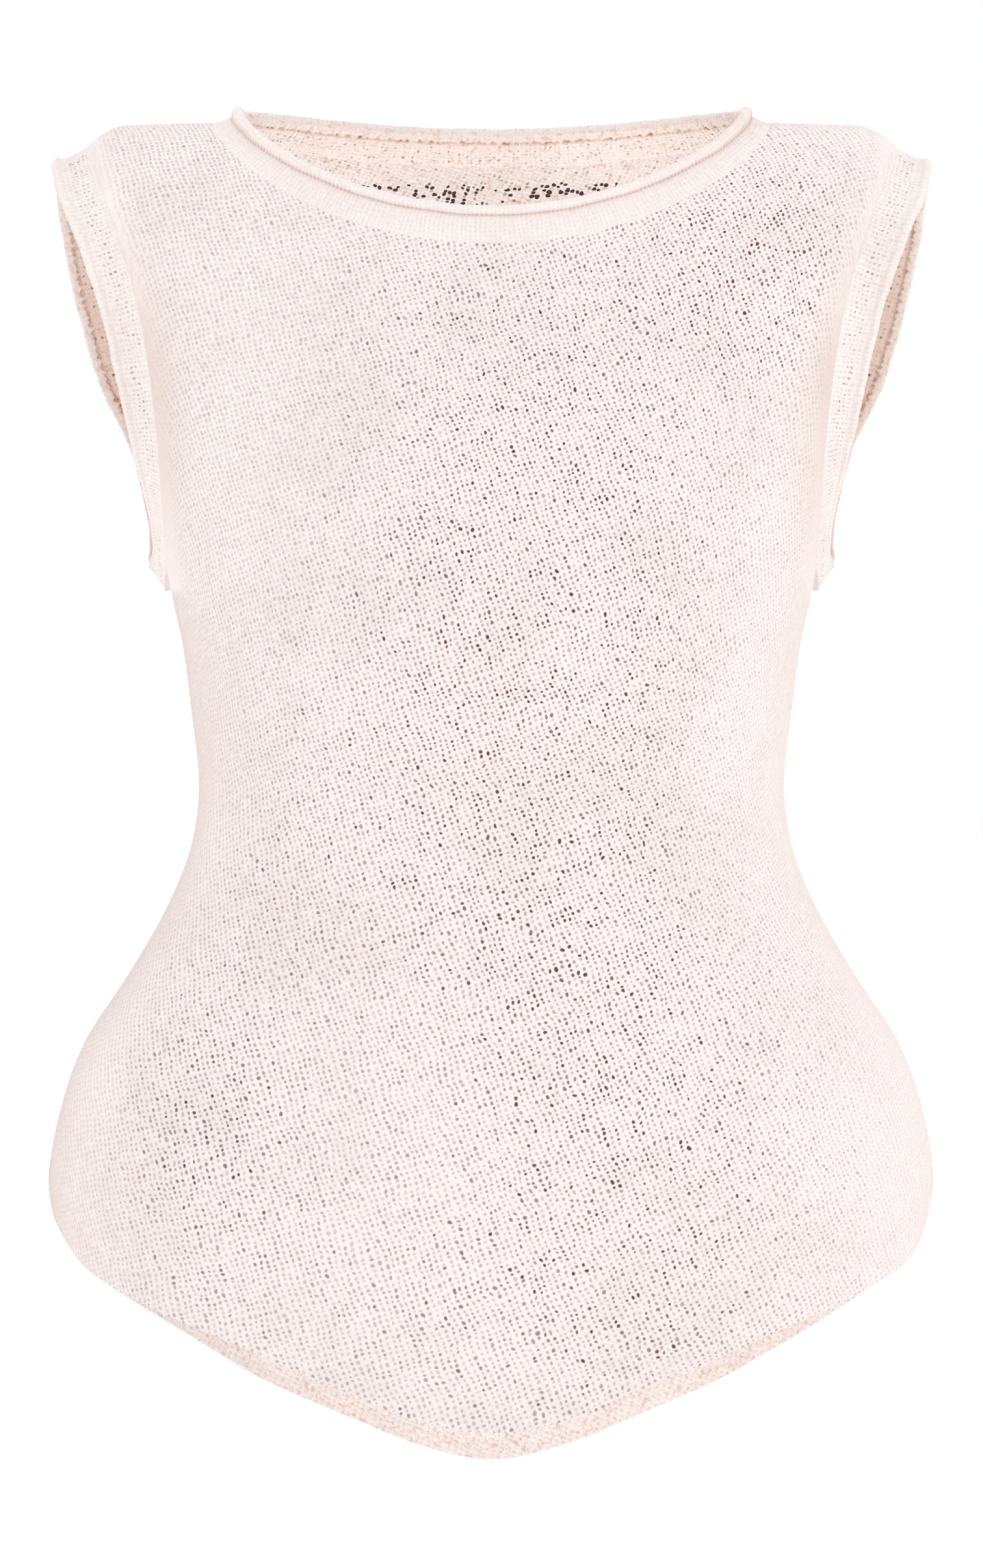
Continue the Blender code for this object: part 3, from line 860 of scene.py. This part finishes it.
def find_stitch(g):
    """Which stitch a point of the cloth belongs to, and where it lies in it."""
    uv = g.node("ShaderNodeUVMap", settings={"uv_map": "stitch"})
    s, t = g.parts(bent(g, bent(g, uv, DRIFT, uv), WOBBLE, uv))[:2]
    column, row = g.calc("FLOOR", s), g.calc("FLOOR", t)
    in_s, in_t = g.calc("SUBTRACT", s, column), g.calc("SUBTRACT", t, row)
    cell = g.node("ShaderNodeCombineXYZ", X=column, Y=row)
    flat = {"noise_dimensions": "2D"}
    chance = g.parts(g.node("ShaderNodeTexWhiteNoise", 1, flat, Vector=cell))
    luck = g.node("ShaderNodeTexWhiteNoise", 0, flat, Vector=g.vector("ADD", cell, LUCK_SHIFT))
    run_place = g.node("ShaderNodeCombineXYZ", X=column, Y=g.calc("MULTIPLY", row, RUN_STRETCH))
    return Stitch(t, in_s, in_t, chance, luck, g.noise(run_place, 1.0, 1.0, flat=True))


def stitch_hole(g, look, stitch, openness):
    """1 in the gap beside each stitch, 0 on its yarn."""
    centre = [g.calc("MULTIPLY_ADD", stitch.chance[k], GAP_SPREAD[k], GAP_MIDDLE[k]) for k in (0, 1)]
    off_s = g.calc("SUBTRACT", stitch.in_s, centre[0])
    off_t = g.calc("MULTIPLY", g.calc("SUBTRACT", stitch.in_t, centre[1]), GAP_FLATNESS)
    distance = g.calc("SQRT", g.calc("MULTIPLY_ADD", off_s, off_s, g.calc("MULTIPLY", off_t, off_t)))
    usual, spread, growth = (look.gap_size * size for size in (GAP_SIZE, GAP_SIZE_SPREAD, GAP_LUCK_GROWTH))
    size = g.calc("MULTIPLY_ADD", stitch.chance[2], spread, usual)
    size = g.calc("MULTIPLY", size, g.ramp(openness, 1.0, 2.0, 1.0, GAP_BELT_GROWTH))
    size = g.calc("ADD", size, g.calc("MULTIPLY", g.calc("POWER", stitch.luck, 4.0), growth))
    return g.ramp(g.calc("SUBTRACT", size, distance), *GAP_EDGE)


def gap_darkness(g, look, stitch, openness):
    """How dark the painted shade in each stitch's gap is: by luck, in runs along the columns, and in the
    belt.
    """
    dark = g.calc("MULTIPLY_ADD", g.calc("POWER", stitch.luck, look.rarity), GAP_DARKNESS, look.alike)
    dark = g.calc("ADD", dark, g.ramp(stitch.run, *GAP_RUN, 0.0, 2 * look.alike))
    belt = g.calc("MULTIPLY", g.ramp(openness, 1.0, 1.8), g.ramp(stitch.luck, *BELT_LUCK))
    return g.calc("ADD", dark, belt)


def knit_material(name, look):
    """Single jersey: small gaps between stitches painted dark for the shade seen through them, its face of
    columns or its purl side of bumps.
    """
    g = Graph(name)
    stitch = find_stitch(g)
    openness, furrow, shade = (g.attribute(field) for field in ("openness", "furrow", "shade"))
    hole = stitch_hole(g, look, stitch, openness)
    dark = gap_darkness(g, look, stitch, openness)
    gap_share = g.calc("MULTIPLY", hole, g.calc("MULTIPLY", dark, openness))
    gap_share.node.use_clamp = True

    half = g.calc("ABSOLUTE", g.calc("SUBTRACT", stitch.in_s, 0.5))
    relief = PURL_RELIEF if look.purl else FACE_RELIEF
    bend = g.calc("MULTIPLY", half, half) if look.purl else half
    slant = g.calc("MULTIPLY_ADD", bend, relief.slant, stitch.t)
    wave = g.calc("MULTIPLY_ADD", g.calc("COSINE", g.calc("MULTIPLY", slant, 2 * math.pi)), 0.5, 0.5)
    column_height = g.calc("MULTIPLY", g.ramp(half, 0.02, 0.34), relief.column)
    yarn = g.calc("MULTIPLY_ADD", wave, relief.wave, column_height)
    hollow = g.ramp(yarn, 0.42, 0.10)
    line = g.calc("MULTIPLY", g.ramp(half, 0.17, 0.03), g.ramp(stitch.run, 0.30, 0.62, 0.25, 1.0))

    place = g.node("ShaderNodeTexCoord", 3)
    knitting = g.calc("MULTIPLY", g.calc("SUBTRACT", yarn, g.calc("MULTIPLY", hole, GAP_DEPTH)), furrow)
    height = g.calc("MULTIPLY_ADD", g.noise(place, FIBRE_SCALE, 3.0), FIBRE_HEIGHT, knitting)

    deeper = tuple(c * k for c, k in zip(look.colour[:3], CLOUD_TONE)) + (1.0,)
    highlighted = tuple(min(HIGHLIGHT_LIMIT, c * HIGHLIGHT_TONE) for c in look.colour[:3]) + (1.0,)
    tone = g.mix(g.ramp(g.noise(place, CLOUD_SCALE, 3.0), 0.40, 0.64), look.colour, deeper)
    # painted highlight on the raised tops of the stitches
    tone = g.mix(g.calc("MULTIPLY", wave, g.ramp(stitch.chance[1], 0.3, 1.0)), tone, highlighted)
    # painted shade in the relief's hollows and along the lines between columns
    tone = g.mix(g.calc("MULTIPLY", hollow, 0.5 * look.furrow), tone, look.hollow)
    tone = g.mix(g.calc("MULTIPLY", line, g.calc("MULTIPLY", furrow, look.furrow)), tone, look.hollow)
    fleck = g.noise(place, FLECK_SCALE, 2.0)
    tone = g.mix(g.ramp(fleck, 0.55, 0.67, 0.0, look.flecks), tone, look.hollow)
    # painted shade carried by the shade attribute, in the hollow colour
    tone = g.mix(shade, tone, look.hollow)
    if look.purl:
        # broken painted shadow where the painted shade is deepest
        tone = g.mix(g.ramp(g.calc("ADD", shade, fleck), *PURL_SHADOW), tone, look.gap)
    # gaps painted dark for the shade seen through them
    tone = g.mix(gap_share, tone, look.gap)
    g.set(g.shader.inputs["Base Color"], tone)
    g.set(g.shader.inputs["Normal"],
          g.node("ShaderNodeBump", Strength=look.relief, Distance=BUMP_HEIGHT, Height=height))
    g.fix(MATT_YARN)
    return g.material


def plain_material(name, colour, roughness, glow):
    """A matt material that glows white a little."""
    g = Graph(name)
    g.fix({"Base Color": colour, "Roughness": roughness, "Emission Color": WHITE,
           "Emission Strength": glow})
    return g.material


# -------------------------------- build

NECK_SEAM_POINTS, ARM_SEAM_POINTS = 1401, 1201
NECK_SEAM_SHARE = 1 - 1e-5  # keeps the neck seam's ends off the shoulder seam


def neck_seam(panel):
    """Shares and heights along one panel's neck seam."""
    turn = np.linspace(-np.pi / 2, np.pi / 2, NECK_SEAM_POINTS)
    share = neck_share() * np.sin(turn) * NECK_SEAM_SHARE
    return share, top_height(panel, share)


def armhole_seam(panel, side):
    """Shares and heights up one panel's armhole seam."""
    even = (1 - np.cos(np.linspace(0, np.pi, ARM_SEAM_POINTS))) / 2
    share = np.full(len(even), float(side))
    top = top_height(panel, share[:1])[0]
    return share, -UNDERARM_DROP + (top + UNDERARM_DROP) * even


def seam_loop(seam, *side):
    """Seam points and normals along the front and back along the back."""
    panels = [surface_points(panel, *seam(panel, *side)) for panel in (FRONT, BACK)]
    return [np.concatenate([front[1:-1], back[1:-1][::-1]]) for front, back in zip(*panels)]


def neckband_size(middle):
    """Width, lift and roll of the neckband: narrowest over the shoulders, where it stands up."""
    sizes = []
    for centre in (NECK_FRONT, NECK_BACK):
        to_shoulder = np.minimum(1.0, np.abs(middle[:, 0]) / NECK_HALF) ** centre.narrowing
        pairs = zip(centre[:3], NECK_SHOULDER[:3])
        sizes.append([mid + (end - mid) * to_shoulder for mid, end in pairs])
    return [np.where(middle[:, 1] < 0, one, other) for one, other in zip(*sizes)]


def armband_size(middle):
    """Width, lift and roll of an armhole band."""
    drop = -middle[:, 2] / MM
    width, lift = (MM * smooth_value(ARM_BAND, column, drop) for column in ("width", "lift"))
    return width, lift, np.full(len(middle), ARM_ROLL_RADIUS)


def no_step(middle):
    """The neckband's seam edge lies level with the panels."""
    return np.zeros(len(middle))


def underarm_step(middle):
    """The band's seam edge stands proud at the underarm."""
    return UNDERARM_STEP * ease(-middle[:, 2], *UNDERARM_STEP_DROPS) ** 2


# Colours of hollows (painted shade, and flecks), of the painted shade seen through gaps, and of the yarn
PINK = (0.74, 0.62, 0.575, 1.0)
TAN = (0.70, 0.48, 0.385, 1.0)
ORANGE = (0.67, 0.45, 0.345, 1.0)
GAP_SHADE = (0.155, 0.062, 0.066, 1.0)
DEEP_GAP_SHADE = (0.060, 0.028, 0.026, 1.0)
BROWN_GAP_SHADE = (0.200, 0.095, 0.066, 1.0)
JERSEY = (0.860, 0.783, 0.764, 1.0)
BAND = (0.862, 0.792, 0.765, 1.0)
INSIDE = (0.838, 0.785, 0.762, 1.0)
CURL = (0.838, 0.784, 0.754, 1.0)

KNITS = {
    "jersey_face": KnitLook(colour=JERSEY, hollow=PINK, gap=GAP_SHADE, purl=False, gap_size=1.05, alike=0.27,
                            rarity=3.0, furrow=0.40, flecks=0.05, relief=0.7),
    "jersey_purl": KnitLook(colour=INSIDE, hollow=ORANGE, gap=DEEP_GAP_SHADE, purl=True, gap_size=1.1,
                            alike=0.03, rarity=7.0, furrow=0.16, flecks=0.62, relief=0.8),
    "band_face": KnitLook(colour=BAND, hollow=TAN, gap=GAP_SHADE, purl=False, gap_size=0.85, alike=0.15,
                          rarity=3.0, furrow=0.10, flecks=0.08, relief=0.45),
    "band_purl": KnitLook(colour=CURL, hollow=ORANGE, gap=BROWN_GAP_SHADE, purl=True, gap_size=1.1,
                          alike=0.03, rarity=4.5, furrow=0.12, flecks=0.55, relief=0.45),
}
jersey_face, jersey_purl, *band_knits = (knit_material(*knit) for knit in KNITS.items())

NECK_LOOK = BandLook(size=neckband_size, step=no_step, filled=0.0, line=0.70, face_open=0.10,
                     inside_open=0.95, inside_shade=0.06, seam=0.95, curl_shade=0.14, purl_from=7,
                     low_drop=400)
ARM_LOOK = BandLook(size=armband_size, step=underarm_step, filled=1.0, line=0.06, face_open=0.75,
                    inside_open=1.25, inside_shade=0.80, seam=0.45, curl_shade=0.16, purl_from=5,
                    low_drop=92)
NECK_MIDDLE = (0, 0, 2 * NECK_HALF)  # far enough up for the neckband to stand
NECK_SEED, LEFT_SEED, RIGHT_SEED = 11, 23, 31

front = make_panel(FRONT, FRONT_FOLDS, jersey_face, jersey_purl)
back = make_panel(BACK, BACK_FOLDS, jersey_face, jersey_purl)
neckband = make_band("neckband", seam_loop(neck_seam), NECK_MIDDLE, NECK_LOOK, NECK_SEED, *band_knits)
arm_bands = []
for name, side, seed in (("armhole_band_left", 1, LEFT_SEED), ("armhole_band_right", -1, RIGHT_SEED)):
    arm_middle = (side * 2 * SHOULDER_TIP_HALF, 0, -ARMHOLE_WIDEST_DROP)
    arm_bands.append(make_band(name, seam_loop(armhole_seam, side), arm_middle, ARM_LOOK, seed,
                               *band_knits))

# Each piece hangs from the root, and its solid is hidden
for piece in [front, back, neckband] + arm_bands:
    node = piece.name.removesuffix("_knit")
    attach(piece, "root")
    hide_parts(node)

# -------------------------------- stage

FLOOR_DROP, FLOOR_HALF = 0.60, 40
FLOOR_COLOUR, FLOOR_ROUGHNESS, FLOOR_GLOW = (0.93, 0.93, 0.93, 1.0), 0.9, 0.12
floor_corners = [(x * FLOOR_HALF, y * FLOOR_HALF, -FLOOR_DROP)
                 for x, y in ((-1, -1), (1, -1), (1, 1), (-1, 1))]
floor_mesh = bpy.data.meshes.new("floor")
floor_mesh.from_pydata(floor_corners, [], [(0, 1, 2, 3)])
floor_mesh.materials.append(plain_material("floor", FLOOR_COLOUR, FLOOR_ROUGHNESS, FLOOR_GLOW))
floor = add_object("floor", floor_mesh)

world = bpy.data.worlds.new("studio")
world.use_nodes = True
world.node_tree.nodes["Background"].inputs["Color"].default_value = WHITE
world.node_tree.nodes["Background"].inputs["Strength"].default_value = 1.0
bpy.context.scene.world = world
bpy.context.scene.view_settings.view_transform = "Standard"

BODY_MIDDLE = (0, 0, -0.25)
SIDE_BOX_SIZE, TOP_BOX_SIZE = (1.2, 1.8), (1.6, 1.2)
GLOW_RADIUS = 0.04

# Glows inside the top: distance to the wearer's left, drop, and power in watts
INNER_GLOWS = (
    (-0.06, 0.065, 0.062), (0.06, 0.065, 0.062), (0.0, 0.20, 0.10), (0.0, 0.34, 0.12),
    (0.0, 0.46, 0.115), (0.10, 0.45, 0.05),
)


def soft_box(name, place, size, power):
    """A rectangular lamp of a width and height in metres, aimed at the body's middle."""
    light = bpy.data.lights.new(name, "AREA")
    light.shape = "RECTANGLE"
    light.size, light.size_y = size
    light.energy = power
    made = add_object(name, light)
    made.location = place
    made.rotation_euler = (Vector(BODY_MIDDLE) - Vector(place)).to_track_quat("-Z", "Y").to_euler()


def glow_inside(name, place, power):
    """Soft light that the thin open cloth would let through to its inside."""
    light = bpy.data.lights.new(name, "POINT")
    light.energy = power
    light.shadow_soft_size = GLOW_RADIUS
    made = add_object(name, light)
    made.location = place
    made.visible_camera = False


soft_box("left_box", (-1.9, -1.3, 0.2), SIDE_BOX_SIZE, 5)
soft_box("right_box", (1.9, -1.3, 0.2), SIDE_BOX_SIZE, 7.4)
soft_box("top_box", (0, 0.6, 1.9), TOP_BOX_SIZE, 5)
for number, (across, drop, power) in enumerate(INNER_GLOWS):
    glow_inside(f"inner_glow_{number}", (across, 0, -drop), power)

PICTURE_HEIGHT = 0.640  # height of the picture at the garment, in metres
CAMERA_DISTANCE = 3.0
CAMERA_DROP = 0.2696
SENSOR = 36  # in mm
FAR_END = 200
camera_data = bpy.data.cameras.new("camera")
camera_data.sensor_width = SENSOR
camera_data.lens = SENSOR * CAMERA_DISTANCE / PICTURE_HEIGHT
camera_data.clip_end = FAR_END
camera = add_object("camera", camera_data)
camera.location = (0, -CAMERA_DISTANCE, -CAMERA_DROP)
camera.rotation_euler = (math.radians(90), 0, 0)
bpy.context.scene.camera = camera
